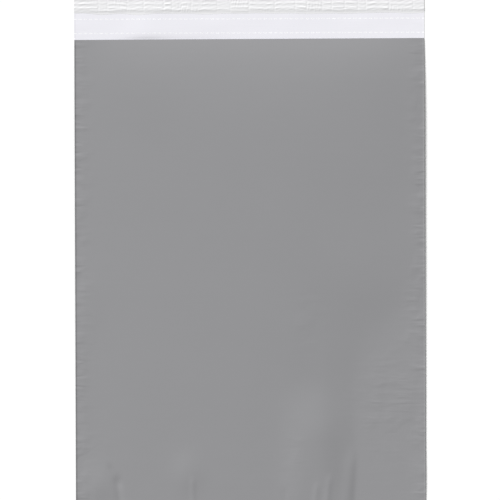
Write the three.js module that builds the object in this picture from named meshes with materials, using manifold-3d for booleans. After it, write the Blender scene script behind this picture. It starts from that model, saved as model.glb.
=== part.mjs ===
// A courier mailer bag of polythene film, lying flat on its back panel with the flap open.
//
// One web of film is folded across its width. The back panel and the flap lie on the ground, and the
// shorter front panel bows up a little over the air in the pocket, which is open at the flap's end.
// Hot-knife welds close both sides and leave a bead along each edge. Two rows of slits across the flap
// make a tear strip. Beyond them a strip of adhesive lies under its puckered peel-off liner.
//
// Millimetres, +Z up. The origin is on the ground under the middle of the whole bag. +X runs across
// the bag, and +Y runs from the bottom fold towards the flap.
import * as THREE from 'three';
import { mergeVertices } from 'three/addons/utils/BufferGeometryUtils.js';
import Module from 'manifold-3d';

const wasm = await Module();
wasm.setup();

// The film.
const bagWidth = 228.6; // 9 in, across the welds
const pocketLength = 304.8; // 12 in, bottom fold to mouth
const flapLength = 38.1; // 1.5 in, mouth to the flap's cut end
const filmThickness = 0.06;

// The air between the panels, as a gap measured from inner face to inner face.
const fullGap = 5.2; // over the flat middle, where a label goes
const closedGap = 0.1; // at the welds and at the fold, where the panels meet
const middleWidth = 104; // the flat middle, which runs on to the mouth
const middleLength = 232;
const rampSteps = 6; // facets from a closed edge up to the flat middle

// The side welds.
const beadHeight = 0.36;
const beadWidth = 0.4;
const beadChamfer = 0.1;
const weldWidth = 0.5; // solid film, from the edge to the inside of the pocket

// The tear strip: two rows of slits, measured from the mouth.
const slitRows = [4.0, 13.2];
const slitPitch = 3.45;
const slitLength = slitPitch / 2;
const slitWidth = 0.2;
const sideMargin = 1.5; // uncut film at each side

// The adhesive and its liner, measured from the mouth.
const adhesiveStart = 19.8;
const adhesiveWidth = 15;
const adhesiveThickness = 0.05;
const linerStart = 16.6;
const linerWidth = 20.7;
const linerThickness = 0.05;
const puckerCount = 6; // ridges across the liner
const puckerHeight = 0.45;
const stepsPerPucker = 8;
const clearance = 0.01; // between layers that touch on the real bag

const bagLength = pocketLength + flapLength;
const halfWidth = bagWidth / 2;
const foldY = -bagLength / 2;
const mouthY = foldY + pocketLength;
const weldX = halfWidth - weldWidth; // the inside of the pocket at its welds
const noseRadius = filmThickness + closedGap / 2; // outside of the bottom fold
const noseAngles = [10, 35, 60].map(THREE.MathUtils.degToRad);

const filmOutside = new THREE.MeshStandardMaterial({ color: 0x949597, roughness: 0.42, metalness: 0 });
const adhesiveGel = new THREE.MeshStandardMaterial({ color: 0xe9e4d2, roughness: 0.2, metalness: 0 });
const linerFilm = new THREE.MeshStandardMaterial({ color: 0xeeeef0, roughness: 0.35, metalness: 0 });

// A geometry as a solid that can be cut and joined.
function solidOf(geometry) {
  const bare = geometry.clone();
  bare.deleteAttribute('normal');
  bare.deleteAttribute('uv');
  const merged = mergeVertices(bare, 1e-4);
  return new wasm.Manifold(new wasm.Mesh({
    numProp: 3,
    vertProperties: new Float32Array(merged.attributes.position.array),
    triVerts: new Uint32Array(merged.index.array),
  }));
}

// A solid back as a geometry.
function geometryOf(solid) {
  const mesh = solid.getMesh();
  const geometry = new THREE.BufferGeometry();
  geometry.setAttribute('position', new THREE.BufferAttribute(mesh.vertProperties, 3));
  geometry.setIndex(new THREE.BufferAttribute(mesh.triVerts, 1));
  geometry.computeVertexNormals();
  return geometry;
}

// A closed solid over a grid: its corners stand at the given columns (x) and rows (y), and its height
// runs from underside(x, y) to topside(x, y).
function gridSolid(columns, rows, underside, topside) {
  const across = columns.length - 1;
  const along = rows.length - 1;
  const box = new THREE.BoxGeometry(1, 1, 1, across, along, 1);
  const place = box.attributes.position;
  for (let i = 0; i < place.count; i += 1) {
    const x = columns[Math.round((place.getX(i) + 0.5) * across)];
    const y = rows[Math.round((place.getY(i) + 0.5) * along)];
    place.setXYZ(i, x, y, place.getZ(i) > 0 ? topside(x, y) : underside(x, y));
  }
  return solidOf(box);
}

// Places from start to end, counted in equal steps, without the last one.
function steps(start, end, count) {
  return Array.from({ length: count }, (_, i) => start + ((end - start) * i) / count);
}

// The gap between the panels: even over the middle, and falling smoothly to the welds and the fold.
function gapAt(x, y) {
  const side = THREE.MathUtils.smoothstep(weldX - Math.abs(x), 0, weldX - middleWidth / 2);
  const fold = THREE.MathUtils.smoothstep(y - foldY, 0, pocketLength - middleLength);
  return closedGap + (fullGap - closedGap) * side * fold;
}

// The front panel's outer face, with the bead that the hot knife leaves along each side.
function frontFace(x, y) {
  const fromSide = halfWidth - Math.abs(x);
  if (fromSide < beadChamfer / 2) {
    return beadHeight - beadChamfer;
  }
  return fromSide < beadWidth ? beadHeight : 2 * filmThickness + gapAt(x, y);
}

// How far the fold's half-round nose has opened at a row: nothing at its tip, one past its radius.
function noseAt(y) {
  const fromTip = Math.min(1, (y - foldY) / noseRadius);
  return Math.sqrt(1 - (1 - fromTip) ** 2);
}

// The folded, welded film: both panels, the flap and its slits, in one piece.
function buildFilm() {
  const mirrored = (half) => [...half.map((x) => -x), ...[...half].reverse()];
  const inner = [...steps(weldX, middleWidth / 2, rampSteps), middleWidth / 2];
  const insideColumns = mirrored(inner);
  const columns = mirrored([halfWidth, halfWidth - beadChamfer, halfWidth - beadWidth, ...inner]);

  const middleY = mouthY - middleLength;
  const insideRows = [...steps(foldY + noseRadius, middleY, rampSteps), middleY, mouthY];
  const noseRows = noseAngles.map((angle) => foldY + noseRadius * (1 - Math.cos(angle)));
  const shell = gridSolid(
    columns,
    [...noseRows, ...insideRows],
    (x, y) => noseRadius * (1 - noseAt(y)),
    (x, y) => noseRadius + (frontFace(x, y) - noseRadius) * noseAt(y),
  );
  const inside = gridSolid(
    insideColumns,
    [...insideRows, mouthY + 1],
    () => filmThickness,
    (x, y) => filmThickness + gapAt(x, Math.min(y, mouthY)),
  );
  const flap = gridSolid(columns, [mouthY, mouthY + flapLength], () => 0, () => filmThickness);

  let film = shell.subtract(inside).add(flap);
  const slitCount = Math.floor((bagWidth - 2 * sideMargin) / slitPitch);
  const slit = new THREE.BoxGeometry(slitLength, slitWidth, 4 * filmThickness);
  for (const row of slitRows) {
    for (let i = 0; i < slitCount; i += 1) {
      const x = (i - (slitCount - 1) / 2) * slitPitch;
      film = film.subtract(solidOf(slit.clone().translate(x, mouthY + row, 0)));
    }
  }
  return geometryOf(film);
}

// The hot-melt adhesive strip, laid across the flap from side to side.
function buildAdhesive() {
  return new THREE.BoxGeometry(bagWidth, adhesiveWidth, adhesiveThickness);
}

// The peel-off liner: a wavy strip, whose ridges run across the bag.
function buildLiner() {
  const count = puckerCount * stepsPerPucker;
  const wave = Array.from({ length: count + 1 }, (_, i) => new THREE.Vector2(
    (linerWidth * i) / count,
    (puckerHeight / 2) * (1 - Math.cos((2 * Math.PI * i) / stepsPerPucker)),
  ));
  const upper = wave.map((p) => new THREE.Vector2(p.x, p.y + linerThickness)).reverse();
  const strip = new THREE.ExtrudeGeometry(new THREE.Shape([...wave, ...upper]), {
    depth: bagWidth, bevelEnabled: false,
  });
  strip.translate(0, 0, -halfWidth);
  strip.rotateY(Math.PI / 2);
  strip.rotateX(Math.PI / 2);
  return strip;
}

const film = new THREE.Mesh(buildFilm(), filmOutside);
film.name = 'mailer_film';

const adhesive = new THREE.Mesh(buildAdhesive(), adhesiveGel);
adhesive.name = 'adhesive_strip';
const adhesiveBase = filmThickness + clearance;
adhesive.position.set(0, mouthY + adhesiveStart + adhesiveWidth / 2, adhesiveBase + adhesiveThickness / 2);

const liner = new THREE.Mesh(buildLiner(), linerFilm);
liner.name = 'release_liner';
liner.position.set(0, mouthY + linerStart, adhesiveBase + adhesiveThickness + clearance);

const mailer = new THREE.Group();
mailer.add(film, adhesive, liner);

export default mailer;
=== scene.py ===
import math

import bmesh
import bpy
import numpy as np
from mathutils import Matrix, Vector


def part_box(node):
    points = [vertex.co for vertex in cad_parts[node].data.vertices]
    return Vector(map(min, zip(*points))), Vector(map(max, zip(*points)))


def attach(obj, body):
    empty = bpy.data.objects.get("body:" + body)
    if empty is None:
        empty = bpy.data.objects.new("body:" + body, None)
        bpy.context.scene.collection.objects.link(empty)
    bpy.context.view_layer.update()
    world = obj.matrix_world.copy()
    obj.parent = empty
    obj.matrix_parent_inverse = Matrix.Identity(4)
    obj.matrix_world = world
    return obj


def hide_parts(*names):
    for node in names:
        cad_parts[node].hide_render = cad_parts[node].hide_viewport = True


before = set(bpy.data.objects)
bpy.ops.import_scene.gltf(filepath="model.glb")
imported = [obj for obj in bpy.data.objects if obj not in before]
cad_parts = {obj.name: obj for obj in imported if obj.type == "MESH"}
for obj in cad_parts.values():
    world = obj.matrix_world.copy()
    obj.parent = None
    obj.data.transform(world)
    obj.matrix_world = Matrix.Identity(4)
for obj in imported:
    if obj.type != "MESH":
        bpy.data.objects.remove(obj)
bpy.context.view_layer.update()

mm = 0.001
sharpAngle = 55  # degrees between faces, past which an edge isn't smoothed
filmLow, filmHigh = (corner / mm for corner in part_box("mailer_film"))
linerLow, linerHigh = (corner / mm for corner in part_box("release_liner"))
adhesiveLow, adhesiveHigh = (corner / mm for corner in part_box("adhesive_strip"))
halfWidth = filmHigh.x
foldY = filmLow.y
flapLength = 38.1
mouthY = filmHigh.y - flapLength


# Smooth step: 0 below 0, 1 above 1, and 3t^2 - 2t^3 between.
def ease(t):
    t = np.clip(t, 0, 1)
    return t * t * (3 - 2 * t)


# A bell: one at its middle, falling as e^(-d^2).
def bell(d):
    return np.exp(-d * d)


# Soft random waves: many sines of about one wavelength, each with its own heading and phase, added up
# and divided by the root of their number. spread is how far the headings turn from the given one, in
# radians.
def waves(x, y, length, seed, heading=0.0, spread=math.pi, count=9):
    draw = np.random.default_rng(seed)
    total = np.zeros(np.broadcast(x, y).shape)
    for _ in range(count):
        turn = heading + draw.uniform(-spread, spread)
        number = 2 * math.pi / (length * draw.uniform(0.7, 1.5))
        total += np.sin(number * (x * math.cos(turn) + y * math.sin(turn)) + draw.uniform(0, 2 * math.pi))
    return total / math.sqrt(count)


# A ridge along a straight line from a to b: a bell across the line, easing out past its ends.
def ridge(x, y, a, b, width, height, fade):
    along = np.subtract(b, a)
    length = math.hypot(*along)
    along = along / length
    t = (x - a[0]) * along[0] + (y - a[1]) * along[1]
    across = (y - a[1]) * along[0] - (x - a[0]) * along[1]
    ends = ease((t + fade) / fade) * ease((length + fade - t) / fade)
    return height * bell(across / width) * ends


# Places from 0 on in even steps, given as (where a stretch ends, how many steps it has).
def graded(stretches):
    starts = [0] + [end for end, _ in stretches]
    parts = [np.linspace(start, end, count + 1)[1:] for start, (end, count) in zip(starts, stretches)]
    return np.concatenate([[0], *parts])


# Quads between neighbouring points of a block of vertex numbers.
def blockFaces(block):
    corners = (block[:-1, :-1], block[:-1, 1:], block[1:, 1:], block[1:, :-1])
    return np.stack(corners, axis=-1).reshape(-1, 4)


# Quads between two lines of vertex numbers of one length.
def stripFaces(lineA, lineB):
    return blockFaces(np.stack([lineA, lineB]))


# Closes a line that is folded back on itself about its middle: quads join each point to its partner
# on the other half, and a triangle closes the fold.
def foldFaces(line):
    middle = len(line) // 2
    faces = stripFaces(line[:middle], line[: middle : -1]).tolist()
    return faces + [line[middle - 1 : middle + 2].tolist()]


# A mesh object from points in millimetres and a list of (faces, material number), where faces is an
# array of quads or a short list of other faces. Points that no face uses are dropped, and the faces
# are turned to point outwards. It also returns the numbers of the points that were kept.
def makePiece(name, points, faceGroups, materials):
    used = np.unique(np.concatenate([np.concatenate([np.ravel(face) for face in group])
                                     if isinstance(group, list) else group.ravel()
                                     for group, _ in faceGroups]))
    newNumber = np.zeros(len(points), int)
    newNumber[used] = np.arange(len(used))
    faces = []
    slots = []
    for group, slot in faceGroups:
        if isinstance(group, list):
            faces += [newNumber[face].tolist() for face in group]
        else:
            faces += newNumber[group].tolist()
        slots.append(np.full(len(group), slot, np.int32))
    mesh = bpy.data.meshes.new(name)
    mesh.from_pydata(points[used] * mm, [], faces)
    mesh.polygons.foreach_set("material_index", np.concatenate(slots))
    for material in materials:
        mesh.materials.append(material)
    shell = bmesh.new()
    shell.from_mesh(mesh)
    bmesh.ops.recalc_face_normals(shell, faces=shell.faces)
    shell.to_mesh(mesh)
    shell.free()
    mesh.shade_smooth()
    mesh.set_sharp_from_angle(angle=math.radians(sharpAngle))
    piece = bpy.data.objects.new(name, mesh)
    bpy.context.scene.collection.objects.link(piece)
    return piece, used


# A node in a tree, with its settings by attribute name and its inputs by socket name or number. A tuple
# of (node, output) as an input's value makes a link.
def addNode(tree, kind, inputs=None, **settings):
    made = tree.nodes.new(kind)
    for name, value in settings.items():
        setattr(made, name, value)
    for name, value in (inputs or {}).items():
        if isinstance(value, tuple) and isinstance(value[0], bpy.types.Node):
            tree.links.new(value[0].outputs[value[1]], made.inputs[name])
        else:
            made.inputs[name].default_value = value
    return made


# A Math node over one or two values.
def addMath(tree, operation, *values):
    return addNode(tree, "ShaderNodeMath", dict(enumerate(values)), operation=operation)


# Two colours mixed by a factor. Each is a colour, or a (node, output) tuple. Sockets 6 and 7 of a Mix
# node are its colours, and its output 2 is theirs.
def mixColours(tree, factor, first, second):
    ends = [colour if len(colour) == 2 else (*colour, 1) for colour in (first, second)]
    return addNode(tree, "ShaderNodeMix", {"Factor": factor, 6: ends[0], 7: ends[1]}, data_type="RGBA")


# A bump of the given height in millimetres, over another bump if one is given.
def addBump(tree, shape, height, under=None):
    inputs = {"Strength": 1.0, "Distance": height * mm, "Height": shape}
    if under:
        inputs["Normal"] = (under, "Normal")
    return addNode(tree, "ShaderNodeBump", inputs)


# A material with its Principled BSDF, whose constant values are set on the shader itself.
def newMaterial(name, roughness, specular=0.5):
    material = bpy.data.materials.new(name)
    material.use_nodes = True
    shader = material.node_tree.nodes["Principled BSDF"]
    shader.inputs["Roughness"].default_value = roughness
    shader.inputs["Specular IOR Level"].default_value = specular
    return material, material.node_tree, shader


# A node group with its sockets given as (direction, socket type, name, default).
def newGroup(name, sockets):
    group = bpy.data.node_groups.new(name, "ShaderNodeTree")
    for direction, kind, label, default in sockets:
        socket = group.interface.new_socket(name=label, in_out=direction, socket_type=kind)
        if default is not None:
            socket.default_value = default
    return group, group.nodes.new("NodeGroupInput"), group.nodes.new("NodeGroupOutput")


# Blown film seen close: haze is a soft cloudiness, and lines are the fine streaks that the die leaves
# along the web, which runs across the bag. The lines are noise drawn out along X. Both come out
# between 0 and 1.
def makeFilmGrain():
    group, given, out = newGroup("filmGrain", [
        ("INPUT", "NodeSocketVector", "Vector", None),
        ("INPUT", "NodeSocketFloat", "Haze Per Metre", 30.0),
        ("INPUT", "NodeSocketFloat", "Lines Per Metre", 400.0),
        ("OUTPUT", "NodeSocketFloat", "Haze", None),
        ("OUTPUT", "NodeSocketFloat", "Lines", None),
    ])
    haze = addNode(group, "ShaderNodeTexNoise", {
        "Vector": (given, "Vector"), "Scale": (given, "Haze Per Metre"), "Detail": 3.0, "Roughness": 0.55,
    })
    stretched = addNode(group, "ShaderNodeVectorMath", {0: (given, "Vector"), 1: (0.035, 1.0, 1.0)},
                        operation="MULTIPLY")
    lines = addNode(group, "ShaderNodeTexNoise", {
        "Vector": (stretched, "Vector"), "Scale": (given, "Lines Per Metre"), "Detail": 2.0,
        "Roughness": 0.6,
    })
    group.links.new(haze.outputs["Fac"], out.inputs["Haze"])
    group.links.new(lines.outputs["Fac"], out.inputs["Lines"])
    return group


# Ripples that a weld draws into the film: noise a little drawn out along X, times the strain raised to
# a power, so it is strongest at the weld and gone a little way in, times a second noise, so it comes
# and goes in patches. Strain is the point attribute that says how near the weld a place is.
def makeWeldRipple():
    group, given, out = newGroup("weldRipple", [
        ("INPUT", "NodeSocketVector", "Vector", None),
        ("INPUT", "NodeSocketFloat", "Strain", 0.0),
        ("INPUT", "NodeSocketFloat", "Ripples Per Metre", 300.0),
        ("INPUT", "NodeSocketFloat", "Patches Per Metre", 70.0),
        ("OUTPUT", "NodeSocketFloat", "Height", None),
    ])
    stretched = addNode(group, "ShaderNodeVectorMath", {0: (given, "Vector"), 1: (0.22, 1.0, 0.22)},
                        operation="MULTIPLY")
    ripple = addNode(group, "ShaderNodeTexNoise", {
        "Vector": (stretched, "Vector"), "Scale": (given, "Ripples Per Metre"), "Detail": 1.5,
        "Roughness": 0.5, "Distortion": 0.4,
    })
    fade = addMath(group, "POWER", (given, "Strain"), 1.6)
    patch = addNode(group, "ShaderNodeTexNoise", {
        "Vector": (given, "Vector"), "Scale": (given, "Patches Per Metre"), "Detail": 1.0,
    })
    depth = addNode(group, "ShaderNodeMapRange", {
        "Value": (patch, "Fac"), "From Min": 0.38, "From Max": 0.62, "To Min": 0.15, "To Max": 1.0,
    })
    strained = addMath(group, "MULTIPLY", (fade, "Value"), (depth, "Result"))
    height = addMath(group, "MULTIPLY", (ripple, "Fac"), (strained, "Value"))
    group.links.new(height.outputs["Value"], out.inputs["Height"])
    return group


# Painted highlight on the rims of two rows of slits, standing in for the light that the cut's raised lips
# catch. A slit fills the middle half of each pitch, and the rows lie Half Span to both sides of Middle.
# Mask is one at a slit, gone past Reach from its ends, and cut off at Reach to both sides of its row.
def makeSlitRimHighlight():
    group, given, out = newGroup("slitRimHighlight", [
        ("INPUT", "NodeSocketVector", "Vector", None),
        ("INPUT", "NodeSocketFloat", "Pitch", 0.00345),
        ("INPUT", "NodeSocketFloat", "Middle", 0.0),
        ("INPUT", "NodeSocketFloat", "Half Span", 0.005),
        ("INPUT", "NodeSocketFloat", "Reach", 0.0003),
        ("OUTPUT", "NodeSocketFloat", "Mask", None),
    ])
    place = addNode(group, "ShaderNodeSeparateXYZ", {"Vector": (given, "Vector")})
    halfPitch = addMath(group, "MULTIPLY", (given, "Pitch"), 0.5)
    slitEnd = addMath(group, "MULTIPLY", (given, "Pitch"), 0.25)
    fromMiddle = addMath(group, "PINGPONG", (place, "X"), (halfPitch, "Value"))
    pastEnd = addMath(group, "SUBTRACT", (fromMiddle, "Value"), (slitEnd, "Value"))
    beside = addNode(group, "ShaderNodeMapRange", {
        "Value": (pastEnd, "Value"), "From Min": 0.0, "From Max": (given, "Reach"),
        "To Min": 1.0, "To Max": 0.0,
    })
    fromCentre = addMath(group, "SUBTRACT", (place, "Y"), (given, "Middle"))
    eitherSide = addMath(group, "ABSOLUTE", (fromCentre, "Value"))
    pastRow = addMath(group, "SUBTRACT", (eitherSide, "Value"), (given, "Half Span"))
    fromRow = addMath(group, "ABSOLUTE", (pastRow, "Value"))
    within = addMath(group, "LESS_THAN", (fromRow, "Value"), (given, "Reach"))
    mask = addMath(group, "MULTIPLY", (beside, "Result"), (within, "Value"))
    group.links.new(mask.outputs["Value"], out.inputs["Mask"])
    return group


filmGrain = makeFilmGrain()
weldRipple = makeWeldRipple()
slitRimHighlight = makeSlitRimHighlight()


# A group placed in a material's tree.
def placeGroup(tree, group, inputs):
    return addNode(tree, "ShaderNodeGroup", inputs, node_tree=group)


# The two rows of slits across the flap, which the film's materials and its mesh share.
perforation = dict(
    rows=(4.0, 13.2),  # from the mouth
    pitch=3.45,
    width=0.1,
    slant=0.05,  # how far the cut leans, so that its wall next to the mouth faces up a little
    count=65,
    rimHighlightReach=0.32,  # how far the painted highlight reaches around a slit
)


# One face of the film: a base colour that clouds towards a second one, a darker weld that is partly the
# fused film's own tone and partly painted shade along its bead, painted highlight on the rims around the
# slits, and the weld's ripples and the die lines as a bump.
def makeFilmFace(name, finish):
    material, tree, shader = newMaterial(name, finish["roughness"], finish["specular"])
    place = addNode(tree, "ShaderNodeTexCoord")
    grain = placeGroup(tree, filmGrain, {
        "Vector": (place, "Object"), "Haze Per Metre": finish["hazePerMetre"],
        "Lines Per Metre": finish["linesPerMetre"],
    })
    cloud = mixColours(tree, (grain, "Haze"), finish["colour"], finish["cloudColour"])
    # The weld is darker: partly the fused film's own tone, partly painted shade along the bead's edge.
    weld = addNode(tree, "ShaderNodeAttribute", attribute_name="weld")
    fusedAndShaded = mixColours(tree, (weld, "Fac"), (cloud, 2), finish["weldToneAndShadeColour"])
    # Painted highlight on the rims around the slits, standing in for light caught by the cut's raised
    # lips.
    nearRow, farRow = (mouthY + row for row in perforation["rows"])
    rims = placeGroup(tree, slitRimHighlight, {
        "Vector": (place, "Object"), "Pitch": perforation["pitch"] * mm,
        "Middle": (nearRow + farRow) / 2 * mm, "Half Span": (farRow - nearRow) / 2 * mm,
        "Reach": perforation["rimHighlightReach"] * mm,
    })
    rimHighlighted = mixColours(tree, (rims, "Mask"), (fusedAndShaded, 2), finish["rimHighlightColour"])
    tree.links.new(rimHighlighted.outputs[2], shader.inputs["Base Color"])
    gloss = addNode(tree, "ShaderNodeMapRange", {
        "Value": (grain, "Lines"), "From Min": 0.3, "From Max": 0.7,
        "To Min": finish["roughness"] - finish["roughnessChange"],
        "To Max": finish["roughness"] + finish["roughnessChange"],
    })
    tree.links.new(gloss.outputs["Result"], shader.inputs["Roughness"])
    strain = addNode(tree, "ShaderNodeAttribute", attribute_name="strain")
    ripple = placeGroup(tree, weldRipple, {
        "Vector": (place, "Object"), "Strain": (strain, "Fac"),
        "Ripples Per Metre": finish["ripplesPerMetre"], "Patches Per Metre": finish["patchesPerMetre"],
    })
    lineBump = addBump(tree, (grain, "Lines"), finish["lineHeight"])
    rippleBump = addBump(tree, (ripple, "Height"), finish["rippleHeight"], under=lineBump)
    tree.links.new(rippleBump.outputs["Normal"], shader.inputs["Normal"])
    return material


greyOutside = makeFilmFace("greyOutside", dict(
    colour=(0.2592, 0.259, 0.2675), cloudColour=(0.2628, 0.2626, 0.2712),
    weldToneAndShadeColour=(0.242, 0.242, 0.249), rimHighlightColour=(0.29, 0.29, 0.298),
    roughness=0.42, roughnessChange=0.04, specular=0.5,
    hazePerMetre=28.0, linesPerMetre=420.0, lineHeight=0.012,
    ripplesPerMetre=230.0, patchesPerMetre=75.0, rippleHeight=0.42,
))
whiteInside = makeFilmFace("whiteInside", dict(
    colour=(0.774, 0.769, 0.815), cloudColour=(0.789, 0.784, 0.830),
    weldToneAndShadeColour=(0.77, 0.765, 0.81), rimHighlightColour=(0.92, 0.92, 0.94),
    roughness=0.38, roughnessChange=0.04, specular=0.5,
    hazePerMetre=34.0, linesPerMetre=420.0, lineHeight=0.010,
    ripplesPerMetre=300.0, patchesPerMetre=75.0, rippleHeight=0.08,
))


# Thin release film: cool white with faint cloudy patches, shinier than the bag.
def makeLinerFilm():
    finish = dict(
        colour=(0.748, 0.748, 0.760), cloudColour=(0.788, 0.788, 0.798), roughness=0.3,
        hazePerMetre=160.0, linesPerMetre=900.0, lineHeight=0.03,
    )
    material, tree, shader = newMaterial("linerFilm", finish["roughness"])
    place = addNode(tree, "ShaderNodeTexCoord")
    grain = placeGroup(tree, filmGrain, {
        "Vector": (place, "Object"), "Haze Per Metre": finish["hazePerMetre"],
        "Lines Per Metre": finish["linesPerMetre"],
    })
    cloud = mixColours(tree, (grain, "Haze"), finish["colour"], finish["cloudColour"])
    tree.links.new(cloud.outputs[2], shader.inputs["Base Color"])
    bump = addBump(tree, (grain, "Lines"), finish["lineHeight"])
    tree.links.new(bump.outputs["Normal"], shader.inputs["Normal"])
    return material


# Hot-melt adhesive: glossy and slightly yellow, with small swells.
def makeAdhesiveGel():
    finish = dict(
        colour=(0.80, 0.76, 0.60), cloudColour=(0.84, 0.81, 0.68), roughness=0.12,
        hazePerMetre=120.0, linesPerMetre=600.0, swellHeight=0.05,
    )
    material, tree, shader = newMaterial("adhesiveGel", finish["roughness"])
    place = addNode(tree, "ShaderNodeTexCoord")
    grain = placeGroup(tree, filmGrain, {
        "Vector": (place, "Object"), "Haze Per Metre": finish["hazePerMetre"],
        "Lines Per Metre": finish["linesPerMetre"],
    })
    cloud = mixColours(tree, (grain, "Haze"), finish["colour"], finish["cloudColour"])
    tree.links.new(cloud.outputs[2], shader.inputs["Base Color"])
    bump = addBump(tree, (grain, "Haze"), finish["swellHeight"])
    tree.links.new(bump.outputs["Normal"], shader.inputs["Normal"])
    return material


linerFilm = makeLinerFilm()
adhesiveGel = makeAdhesiveGel()
print("materials made")


film = dict(
    thickness=0.06,
    mouthSkew=0.24,  # how far the mouth's cut runs off square, at each side
    closedGap=0.1,  # between the panels at the welds
    foldGap=1.4,  # how much further apart the panels are in the middle of the bottom fold
    airHeight=1.0,  # and how much further still the air lifts the front panel
    sidePower=1.6,  # how round that lift is from weld to weld
    mouthPower=3.0,  # and how much rounder it is towards the mouth
    mouthPowerRun=45,
    foldRun=230,  # from the fold to the whole of the air's lift
    mouthDrop=2.05,  # how far the front panel comes down again at the mouth
    mouthRun=25,
    archHeight=0.6,  # how far the whole bag stands off the ground behind its mouth
    waveHeight=0.02,  # of the soft waves in the film where it lies on the ground
    waveFloor=2.2,  # what keeps their valleys over the ground, in wave heights
    waveLength=62,
    flapWaveLength=27,  # of the waves that only the flap has
    flapWaveRun=14,  # how far past the mouth they have their whole height
    frontWaves=[(0.02, 52, 11), (0.006, 19, 12)],  # height, length and seed, in the front panel alone
    reliefRun=6,  # how far from a weld the front panel's folds and waves have their whole height
    openingRun=5,  # and how far from it the panels have come apart by the whole gap
    liftRise=2.2,  # how soon past the mouth the flap's lifts have risen
    liftRun=22,  # and how soon they settle again
    softness=0.1,  # of the soft maximum that keeps the panels apart
    panelRows=[(0.15, 18), (0.77, 42), (1, 48)],  # stretches of the panel's length, with their rows
    noseRows=5,
    fineColumns=[(-97, -80), (-45, -30), (22, 88)],  # where the creases need twice the columns
)
# A weld's section, from the inside of the weld out to the cut edge: how far each line is from the
# edge, and its heights over the film's underside.
weld = dict(
    inset=(0.5, 0.38, 0.24, 0.1, 0.0),
    pocketTop=(0.22, 0.33, 0.38, 0.32, 0.17),
    flapTop=(0.06, 0.08, 0.10, 0.10, 0.08),
    under=(0.0, 0.0, 0.0, 0.02, 0.06),
    strainRun=16,  # how far the weld's ripples reach into the panel
)
weldX = halfWidth - weld["inset"][0]

# Folds and swells of the front panel. A ridge runs from a to b, and a negative height is a valley.
frontRidges = [
    dict(a=(43, -130), b=(49, -176), width=16, height=1.15, fade=42),
    dict(a=(66, -146), b=(62, -176), width=4.5, height=0.3, fade=16),
    dict(a=(72, -138), b=(69, -176), width=4, height=-0.2, fade=14),
    dict(a=(-91, -148), b=(-87, -156), width=2.2, height=-0.16, fade=6),
    dict(a=(-87, -157), b=(-84.5, -176), width=2.5, height=-0.34, fade=7),
    dict(a=(-38, -157), b=(-37.5, -176), width=1.6, height=0.15, fade=6),
    dict(a=(80, -158), b=(77, -176), width=2.2, height=-0.22, fade=7),
    dict(a=(43, -161), b=(41, -176), width=1.9, height=0.15, fade=6),
    dict(a=(51, -157), b=(49, -176), width=2.0, height=0.17, fade=7),
    dict(a=(-106, -160), b=(-104, -176), width=2.0, height=-0.1, fade=6),
    dict(a=(22, -164), b=(23, -176), width=1.8, height=-0.1, fade=5),
    dict(a=(98, -158), b=(100, -176), width=2.4, height=-0.14, fade=7),
]
frontSwells = [
    dict(at=(-104, -37), size=(9, 17), height=0.15),
    dict(at=(-42, -151), size=(9, 12), height=0.4),
    dict(at=(-100, -158), size=(9, 12), height=0.42),
    dict(at=(31, -158), size=(9, 24), height=0.4),
]
# Where the film is crinkled further in than at the welds.
strainedPatches = [
    dict(at=(94, -106), size=(26, 40), strain=0.75),
    dict(at=(38, -52), size=(12, 22), strain=0.55),
    dict(at=(-106, -132), size=(12, 12), strain=0.85),
    dict(at=(28, -138), size=(8, 24), strain=0.6),
    dict(at=(112, -65), size=(13, 80), strain=0.9),
]
# Towards the bottom right the panel lies lower: past each corner it goes down by a depth times two
# smooth steps, one along the bag and one across it.
lowCorners = [
    dict(corner=(22, -9), across=36, along=52, depth=0.4),
    dict(corner=(46, -22), across=30, along=68, depth=0.76),
]

# Where a weld's edge curls up, with both panels.
edgeCurls = [
    dict(at=(halfWidth, 84), size=(8, 46), height=0.18),
    dict(at=(halfWidth, -154), size=(7, 16), height=0.22),
]
# Where the flap stands off the ground just past the mouth.
flapLifts = [
    dict(middle=-68, width=13, height=0.36),
    dict(middle=-46, width=28, height=0.14),
]


# The height of the film's lower face over the ground, under the back panel and the flap. The bag
# arches: the height grows from the mouth as 1 - e^(-d) and comes back to the ground at the fold as
# 1 - d^2. Past the mouth, each of the flap's lifts is a bell across the bag, which rises as 1 - e^(-d)
# and settles as e^(-d). The curls of the welds' edges are bells.
def underside(x, y):
    height, floor = film["waveHeight"], film["waveFloor"]
    rise = height * (floor + waves(x, y, film["waveLength"], seed=3))
    beyond = np.maximum(y - mouthY, 0)
    onFlap = ease(beyond / film["flapWaveRun"])
    rise += height * onFlap * (floor + waves(x, y, film["flapWaveLength"], seed=5))
    for part in flapLifts:
        across = bell((x - part["middle"]) / part["width"])
        settling = np.exp(-beyond / film["liftRun"])
        rise += part["height"] * across * (1 - np.exp(-beyond / film["liftRise"])) * settling
    for part in edgeCurls:
        place, size = part["at"], part["size"]
        rise += part["height"] * bell(np.hypot((x - place[0]) / size[0], (y - place[1]) / size[1]))
    behind = np.maximum(mouthY - y, 0)
    comingDown = np.maximum(1 - (behind / (mouthY - foldY)) ** 2, 0)
    return rise + film["archHeight"] * (1 - np.exp(-behind / film["mouthRun"])) * comingDown


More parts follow.
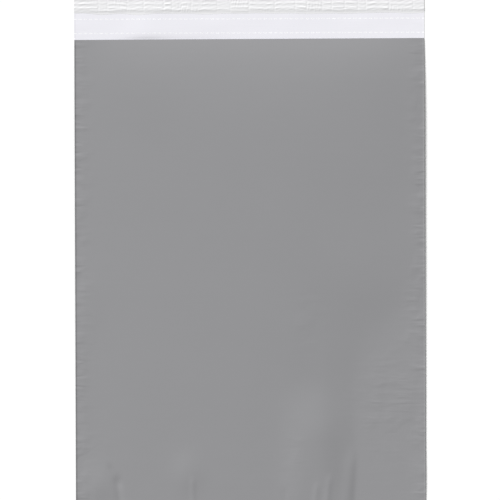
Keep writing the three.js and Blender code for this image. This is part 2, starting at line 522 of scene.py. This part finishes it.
# The gap between the panels. The lift grows from each weld as 1 - (1 - t)^p, with a higher power
# towards the mouth, and from the fold as a quarter sine, and an exponential brings it down at the
# mouth. The front panel's waves, folds and swells are added to it, and its low corners taken off.
# Where that would press the panels together, a soft maximum keeps the closed gap.
def panelGap(x, y):
    fromWeld = weldX - np.abs(x)
    behind = np.maximum(mouthY - y, 0)
    power = film["sidePower"] + film["mouthPower"] * np.exp(-behind / film["mouthPowerRun"])
    side = 1 - (1 - np.clip(fromWeld / weldX, 0, 1)) ** power
    rising = film["airHeight"] * np.sin(math.pi / 2 * np.clip((y - foldY) / film["foldRun"], 0, 1))
    dropping = film["mouthDrop"] * np.exp(-behind / film["mouthRun"])
    lift = side * (film["foldGap"] + rising - dropping)
    relief = sum(height * waves(x, y, length, seed) for height, length, seed in film["frontWaves"])
    for part in frontRidges:
        relief += ridge(x, y, **part)
    for part in frontSwells:
        place, size = part["at"], part["size"]
        relief += part["height"] * bell(np.hypot((x - place[0]) / size[0], (y - place[1]) / size[1]))
    for part in lowCorners:
        cornerX, cornerY = part["corner"]
        pastX, pastY = (x - cornerX) / part["across"], (cornerY - y) / part["along"]
        relief -= part["depth"] * ease(pastX) * ease(pastY)
    free = lift + relief * ease(fromWeld / film["reliefRun"])
    apart = film["softness"] * np.logaddexp(0, free / film["softness"])
    return film["closedGap"] + apart * ease(fromWeld / film["openingRun"])


# Column places: every slit ends on a column, fine stretches have one more between each two, and the
# weld's own lines follow at each side.
def filmColumns():
    half = perforation["pitch"] / 4
    reach = 2 * perforation["count"]
    ends = half * np.arange(1 - reach - 2, reach + 3, 2)
    middles = ends[:-1] + half
    isFine = sum((middles > low) & (middles < high) for low, high in film["fineColumns"]) > 0
    weldLines = halfWidth - np.array(weld["inset"])
    return np.sort(np.concatenate([ends, middles[isFine], weldLines, -weldLines]))


# Row places over the flap, from just past the mouth to its end, and the number of each row of cells
# that the slits are cut in. The first row of the block is the mouth itself.
def flapRows():
    nearRow, farRow = perforation["rows"]
    half = perforation["width"] / 2
    stretches = [(nearRow - half, 4), (nearRow + half, 1), (farRow - half, 6), (farRow + half, 1),
                 (flapLength, 13)]
    cells = np.cumsum([count for _, count in stretches])
    return mouthY + graded(stretches)[1:], (cells[0], cells[2])


# A full row of values that are zero but for the weld's lines at both sides.
def atWelds(values, count):
    row = np.zeros(count)
    row[: len(values)] = values[::-1]
    row[-len(values) :] = values
    return row


# The film's outer and inner skins as two grids of points, whose rows run from the mouth down the front
# panel, round the fold, up the back panel and over the flap. The panels follow underside and panelGap,
# and the fold's nose is a half circle from the front panel's last row to the back panel's first. It also
# returns the number of the row where the flap starts.
def filmSkins(across, isWeld, flapPlaces, slitCells):
    thickness = film["thickness"]
    count = len(across)
    x = across[None, :]

    foldTop = underside(x, foldY) + 2 * thickness + panelGap(x, foldY)
    weldTop = underside(x, foldY) + weld["pocketTop"][0]
    noseRadius = (np.where(isWeld, weldTop, foldTop) - underside(x, foldY)) / 2
    t = graded(film["panelRows"])[:, None]
    mouthLine = mouthY + film["mouthSkew"] * x / halfWidth
    frontY = mouthLine + (foldY + noseRadius - mouthLine) * t
    frontZ = underside(x, frontY) + 2 * thickness + panelGap(x, frontY)
    weldZ = underside(x, frontY) + atWelds(weld["pocketTop"], count)
    frontZ = np.where(isWeld, weldZ, frontZ)

    backY = mouthY + (foldY + noseRadius - mouthY) * t[::-1]
    backZ = underside(x, backY) + atWelds(weld["under"], count)
    backTop = np.where(isWeld, underside(x, backY) + atWelds(weld["flapTop"], count), backZ + thickness)

    flapY = flapPlaces[:, None] + 0 * x
    flapZ = underside(x, flapY) + atWelds(weld["under"], count)
    flapTop = np.where(isWeld, underside(x, flapY) + atWelds(weld["flapTop"], count), flapZ + thickness)
    flapUnderY = flapY.copy()
    flapUnderY[np.array(slitCells) - 1] += perforation["slant"]

    turn = np.linspace(0, math.pi, film["noseRows"] + 2)[1:-1, None]
    radius = (frontZ[-1] - backZ[0])[None, :] / 2
    innerRadius = radius - thickness
    middleY = frontY[-1][None, :]
    middleZ = (frontZ[-1] + backZ[0])[None, :] / 2

    outerY = np.concatenate([frontY, middleY - radius * np.sin(turn), backY, flapUnderY])
    outerZ = np.concatenate([frontZ, middleZ + radius * np.cos(turn), backZ, flapZ])
    innerY = np.concatenate([frontY, middleY - innerRadius * np.sin(turn), backY, flapY])
    innerZ = np.concatenate([frontZ - thickness, middleZ + innerRadius * np.cos(turn), backTop, flapTop])
    gridX = np.broadcast_to(x, outerY.shape)
    mouthRow = len(frontY) + len(turn) + len(backY) - 1
    outerPoints = np.stack([gridX, outerY, outerZ], axis=-1)
    innerPoints = np.stack([gridX, innerY, innerZ], axis=-1)
    return outerPoints, innerPoints, mouthRow


# The faces of both skins with the slits left out, and the slits' walls. A cell of a slit row is open
# where its middle lies within a quarter pitch of a slit's own middle. The lining of the pocket stops at
# the inside of the welds.
def skinFaces(outer, inner, across, mouthRow, slitCells):
    pitch = perforation["pitch"]
    cellMiddle = (across[:-1] + across[1:]) / 2
    fromSlit = cellMiddle - pitch * np.round(cellMiddle / pitch)
    isSlit = np.abs(fromSlit) < pitch / 4
    isSlit &= np.abs(cellMiddle) < pitch * perforation["count"] / 2
    slitRows = mouthRow + np.array(slitCells)
    solidCells = np.ones((outer.shape[0] - 1, outer.shape[1] - 1), bool)
    solidCells[np.ix_(slitRows, isSlit)] = False
    pocketCells = solidCells.copy()
    beadCells = len(weld["inset"]) - 1
    pocketCells[:mouthRow, :beadCells] = False
    pocketCells[:mouthRow, -beadCells:] = False

    def wall(row, column, nextRow, nextColumn):
        return np.stack([outer[row, column], outer[nextRow, nextColumn],
                         inner[nextRow, nextColumn], inner[row, column]], axis=-1)

    cells = np.flatnonzero(isSlit)
    starts = cells[~isSlit[cells - 1]]
    ends = cells[~isSlit[cells + 1]] + 1
    walls = []
    for row in slitRows:
        walls += [wall(row, cells, row, cells + 1), wall(row + 1, cells, row + 1, cells + 1)]
        walls += [wall(row, starts, row + 1, starts), wall(row, ends, row + 1, ends)]
    skin = blockFaces(outer)[solidCells.ravel()]
    lining = blockFaces(inner)[pocketCells.ravel()]
    return skin, lining, np.concatenate(walls)


# The faces along the film's cut edges: the rims of the mouth and the flap, and at each side the fold of
# the outer skin, the fold of the lining inside the weld, and the end of the weld at the mouth.
def edgeFaces(outer, inner, mouthRow):
    count = outer.shape[1]
    beadLines = len(weld["inset"])
    rims = np.concatenate([
        stripFaces(outer[0, beadLines - 1 : count - beadLines + 1],
                   inner[0, beadLines - 1 : count - beadLines + 1]),
        stripFaces(outer[-1], inner[-1]),
        stripFaces(outer[mouthRow:, 0], inner[mouthRow:, 0]),
        stripFaces(outer[mouthRow:, -1], inner[mouthRow:, -1]),
    ])
    closings = []
    leftWeld = np.arange(beadLines)
    for weldColumns in (leftWeld, count - 1 - leftWeld):
        edge, lip = weldColumns[0], weldColumns[-1]
        sides = foldFaces(outer[: mouthRow + 1, edge])
        sides[0] = [*sides[0], inner[mouthRow, edge]]
        ends = stripFaces(outer[0, weldColumns], inner[mouthRow, weldColumns]).tolist()
        last = ends[-1]
        ends[-1] = [last[0], last[1], inner[0, lip], last[2], last[3]]
        closings += sides + foldFaces(inner[: mouthRow + 1, lip]) + ends
    return rims, closings


# What the film's materials read at each point: where it is welded, and how strained it is. The strain
# falls evenly from one at a weld's edge, and each strained patch is a bell.
def paintFilm(piece, points, isWeld, used):
    x, y = points[..., 0], points[..., 1]
    strain = np.clip(1 - (halfWidth - np.abs(x)) / weld["strainRun"], 0, 1)
    for part in strainedPatches:
        place, size = part["at"], part["size"]
        patch = bell(np.hypot((x - place[0]) / size[0], (y - place[1]) / size[1]))
        strain = np.maximum(strain, part["strain"] * patch)
    for name, values in (("weld", np.broadcast_to(isWeld, x.shape)), ("strain", strain)):
        bothSkins = np.tile(values.ravel(), 2)
        attribute = piece.data.attributes.new(name, "FLOAT", "POINT")
        attribute.data.foreach_set("value", bothSkins[used].astype(np.float32))


def makeFilm():
    across = filmColumns()
    isWeld = atWelds([1] * len(weld["inset"]), len(across)) > 0
    flapPlaces, slitCells = flapRows()
    outerPoints, innerPoints, mouthRow = filmSkins(across, isWeld, flapPlaces, slitCells)
    outer = np.arange(outerPoints.shape[0] * len(across)).reshape(-1, len(across))
    inner = outer + outer.size
    skin, lining, slitWalls = skinFaces(outer, inner, across, mouthRow, slitCells)
    rims, closings = edgeFaces(outer, inner, mouthRow)
    points = np.concatenate([outerPoints.reshape(-1, 3), innerPoints.reshape(-1, 3)])
    piece, used = makePiece("mailerFilm", points, [
        (skin, 0), (lining, 1), (slitWalls, 1), (rims, 0), (closings, 0),
    ], [greyOutside, whiteInside])

    # The slits' walls are shaded flat, so that their rims stay crisp.
    fromWalls = np.arange(len(piece.data.polygons)) - len(skin) - len(lining)
    isSmooth = (fromWalls < 0) | (fromWalls >= len(slitWalls))
    piece.data.polygons.foreach_set("use_smooth", isSmooth)
    paintFilm(piece, outerPoints, isWeld, used)
    return piece


mailerFilm = makeFilm()
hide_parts("mailer_film")
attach(mailerFilm, "root")
print("film made:", len(mailerFilm.data.polygons), "faces")


# A closed thin slab over a grid, from its top heights and its thickness.
def makeSlab(name, x, y, top, thickness, material):
    upper = np.stack([x, y, top], axis=-1).reshape(-1, 3)
    points = np.concatenate([upper, upper - (0, 0, thickness)])
    high = np.arange(x.size).reshape(x.shape)
    low = high + x.size
    rim = np.concatenate([
        stripFaces(high[0], low[0]), stripFaces(high[-1], low[-1]),
        stripFaces(high[:, 0], low[:, 0]), stripFaces(high[:, -1], low[:, -1]),
    ])
    faces = np.concatenate([blockFaces(high), blockFaces(low), rim])
    piece, _ = makePiece(name, points, [(faces, 0)], [material])
    return piece


adhesive = dict(
    thickness=0.05,
    clearance=0.01,  # over the film
    columns=180,
    rows=16,
    edgeWander=0.25,
    wanderLength=22,
)


# A flat strip on the flap. Its two long edges wander in soft waves, about lines a little inside its box.
def makeAdhesive():
    x, v = np.meshgrid(np.linspace(-halfWidth, halfWidth, adhesive["columns"]),
                       np.linspace(0, 1, adhesive["rows"]))
    y = adhesiveLow.y + (adhesiveHigh.y - adhesiveLow.y) * v
    wander = waves(x, 0 * x, adhesive["wanderLength"], seed=21) - 1
    y = y + adhesive["edgeWander"] * (2 * v - 1) * wander
    top = underside(x, y) + film["thickness"] + adhesive["thickness"] + adhesive["clearance"]
    return makeSlab("adhesiveStrip", x, y, top, adhesive["thickness"], adhesiveGel)


adhesiveStrip = makeAdhesive()
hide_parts("adhesive_strip")
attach(adhesiveStrip, "root")


liner = dict(
    thickness=0.02,
    clearance=0.006,  # over the film at its edge
    adhesiveClearance=0.014,  # and this much more over the adhesive
    climbStart=0.3,  # how far from its edge it starts to climb onto the adhesive
    columns=560,
    rows=70,
    puckerPitch=2.9,  # from one long ridge to the next
    puckerHeight=0.085,  # the rest of the heights are shares of this one
    stretchHeights=(0.1, 0.4, 0.8, 1.0, 1.3),
    stretchPhase=0.9,  # how far a stretch's ridges may be out of step, in radians
    drift=0.6,  # how far they wander out of step along the way, in radians
    driftLength=24,
    baseHeight=0.6,  # what keeps the valleys clear of the adhesive
    patchHeight=0.8,  # of the ridges, on the whole
    patchChange=0.25,  # and how much it changes from patch to patch
    patchLength=9,
    fineHeight=0.15,
    fineLength=1.6,
    hatchHeight=0.3,
    hatchLength=1.9,
    hatchPatch=18,  # the size of the patches that it comes in
    stretchCount=80,  # more than enough to cross the bag
    creaseGap=(5, 17),  # between the cross creases that break the ridges up
    creaseDepth=0.5,
    creaseWidth=0.4,
    creaseRun=1.1,  # how far from a crease the ridges have their whole height
    lastRidge=2.6,  # from the liner's edge to the ridge that runs along it
    lastRidgeWander=0.35,
    lastRidgeLength=13,  # of the waves that it wanders in
    lastRidgeHeight=1.1,
    lastRidgeLeast=0.35,  # the share of that height which it keeps where it is low
    calmLength=46,  # of the waves that make it high and low
    lastRidgeWidths=(1.3, 0.5),  # on its near side and its far side
    margin=0.4,  # the flat edge next to the mouth
    marginRun=2.3,  # and how gently the puckers start past it
    edgeWander=0.3,
    wanderLength=26,
)


# Puckers: long ridges across the bag with sharp crests, as a sine raised to a power. Their height and
# phase change from one stretch to the next, some stretches are calm, and a narrow valley lies at each
# change. A last ridge follows the edge next to the mouth, steeper on its far side, and fine crinkles
# run over them all. They ease out over the flat margin.
def puckers(x, y):
    draw = np.random.default_rng(31)
    last = liner["stretchCount"] - 1
    breaks = -halfWidth + np.cumsum(draw.uniform(*liner["creaseGap"], liner["stretchCount"]))
    stretch = np.searchsorted(breaks, x)
    height = draw.choice(liner["stretchHeights"], liner["stretchCount"] + 1)
    phase = draw.uniform(-liner["stretchPhase"], liner["stretchPhase"], liner["stretchCount"] + 1)
    before = breaks[np.clip(stretch - 1, 0, last)]
    after = breaks[np.clip(stretch, 0, last)]
    toBreak = np.minimum(np.abs(x - before), np.abs(after - x))
    inY = y - linerLow.y
    drift = liner["drift"] * waves(x, y, liner["driftLength"], seed=33)
    swell = 0.5 + 0.5 * np.sin(2 * math.pi * inY / liner["puckerPitch"] + phase[stretch] + drift)
    patchy = liner["patchHeight"] + liner["patchChange"] * waves(x, y, liner["patchLength"], seed=35)
    crinkle = waves(x, y, liner["fineLength"], seed=34, heading=math.pi / 2, spread=0.5)
    fine = liner["fineHeight"] * crinkle
    hatch = liner["hatchHeight"] * np.maximum(waves(x, y, liner["hatchPatch"], seed=36), 0)
    hatch = hatch * waves(x, y, liner["hatchLength"], seed=37, spread=0.3)
    crease = liner["creaseDepth"] * bell(toBreak / liner["creaseWidth"])
    shape = height[stretch] * patchy * ease(toBreak / liner["creaseRun"]) * swell ** 2
    shape = shape + fine + hatch - crease + liner["baseHeight"]
    wander = waves(x, 0 * x, liner["lastRidgeLength"], seed=38)
    edgeLine = liner["lastRidge"] + liner["lastRidgeWander"] * wander
    least = liner["lastRidgeLeast"]
    calm = least + (1 - least) * ease(0.5 + 0.9 * waves(x, 0 * x, liner["calmLength"], seed=39))
    fromLine = inY - edgeLine
    nearWidth, farWidth = liner["lastRidgeWidths"]
    lastRidge = bell(fromLine / np.where(fromLine > 0, farWidth, nearWidth))
    shape += liner["lastRidgeHeight"] * calm * lastRidge
    return liner["puckerHeight"] * shape * ease((inY - liner["margin"]) / liner["marginRun"])


# A thin strip over the flap and the adhesive, which climbs onto the adhesive by the smooth step and has
# the puckers on top. Its edge next to the mouth wanders in soft waves.
def makeLiner():
    x, v = np.meshgrid(np.linspace(-halfWidth, halfWidth, liner["columns"] + 1),
                       np.linspace(0, 1, liner["rows"] + 1))
    y = linerLow.y + (linerHigh.y - linerLow.y) * v
    y = y + liner["edgeWander"] * (1 - v) ** 2 * waves(x, 0 * x, liner["wanderLength"], seed=32)
    inY = y - linerLow.y
    onAdhesive = ease((inY - liner["climbStart"]) / (adhesiveLow.y - linerLow.y))
    top = (underside(x, y) + film["thickness"] + liner["thickness"] + liner["clearance"]
           + (adhesive["thickness"] + liner["adhesiveClearance"]) * onAdhesive)
    return makeSlab("releaseLiner", x, y, top + puckers(x, y), liner["thickness"], linerFilm)


releaseLiner = makeLiner()
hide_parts("release_liner")
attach(releaseLiner, "root")
print("adhesive and liner made")


studio = dict(
    groundSize=8.0,  # metres
    groundColour=(0.93, 0.93, 0.93),
    skyColour=(1.0, 1.0, 1.0),
    skyStrength=0.5,
    keyStrength=6.6,
    keySpread=16,  # degrees across, which softens its shadows
    keyRise=17,  # degrees over the ground
    keyLeft=25,  # degrees to the left of the bag's length, past the flap
)
view = dict(
    height=3.2,  # metres over the ground
    centreY=-4.5,  # millimetres
    width=326.6,  # millimetres that the picture takes in
    roll=0.21,  # degrees
    sensor=36.0,
)


def makeGround():
    half = studio["groundSize"] / 2
    corners = [(-half, -half, 0), (half, -half, 0), (half, half, 0), (-half, half, 0)]
    mesh = bpy.data.meshes.new("studioGround")
    mesh.from_pydata(corners, [], [(0, 1, 2, 3)])
    material, _, shader = newMaterial("studioPaper", roughness=0.9, specular=0.1)
    shader.inputs["Base Color"].default_value = (*studio["groundColour"], 1)
    mesh.materials.append(material)
    ground = bpy.data.objects.new("studioGround", mesh)
    bpy.context.scene.collection.objects.link(ground)


def makeLight():
    world = bpy.data.worlds.new("studioSky")
    world.use_nodes = True
    tree = world.node_tree
    sky = tree.nodes["Background"]
    sky.inputs["Color"].default_value = (*studio["skyColour"], 1)
    sky.inputs["Strength"].default_value = studio["skyStrength"]
    backdrop = addNode(tree, "ShaderNodeBackground", {
        "Color": (*studio["skyColour"], 1), "Strength": 1.0,
    })
    seen = addNode(tree, "ShaderNodeLightPath")
    either = addNode(tree, "ShaderNodeMixShader", {
        0: (seen, "Is Camera Ray"), 1: (sky, "Background"), 2: (backdrop, "Background"),
    })
    tree.links.new(either.outputs["Shader"], tree.nodes["World Output"].inputs["Surface"])
    bpy.context.scene.world = world

    key = bpy.data.lights.new("studioKey", "SUN")
    key.energy = studio["keyStrength"]
    key.angle = math.radians(studio["keySpread"])
    rise, left = math.radians(studio["keyRise"]), math.radians(studio["keyLeft"])
    towards = Vector((-math.cos(rise) * math.sin(left), math.cos(rise) * math.cos(left), math.sin(rise)))
    lamp = bpy.data.objects.new("studioKey", key)
    lamp.location = towards
    lamp.rotation_euler = towards.to_track_quat("Z", "Y").to_euler()
    lamp.visible_glossy = False
    bpy.context.scene.collection.objects.link(lamp)


def makeCamera():
    camera = bpy.data.cameras.new("overhead")
    camera.sensor_width = view["sensor"]
    camera.lens = view["sensor"] * view["height"] / (view["width"] * mm)
    camera.clip_end = 20
    overhead = bpy.data.objects.new("overhead", camera)
    overhead.location = (0, view["centreY"] * mm, view["height"])
    overhead.rotation_euler = (0, 0, math.radians(-view["roll"]))
    bpy.context.scene.collection.objects.link(overhead)
    bpy.context.scene.camera = overhead


makeGround()
makeLight()
makeCamera()
bpy.context.scene.view_settings.view_transform = "Standard"
print("studio made")
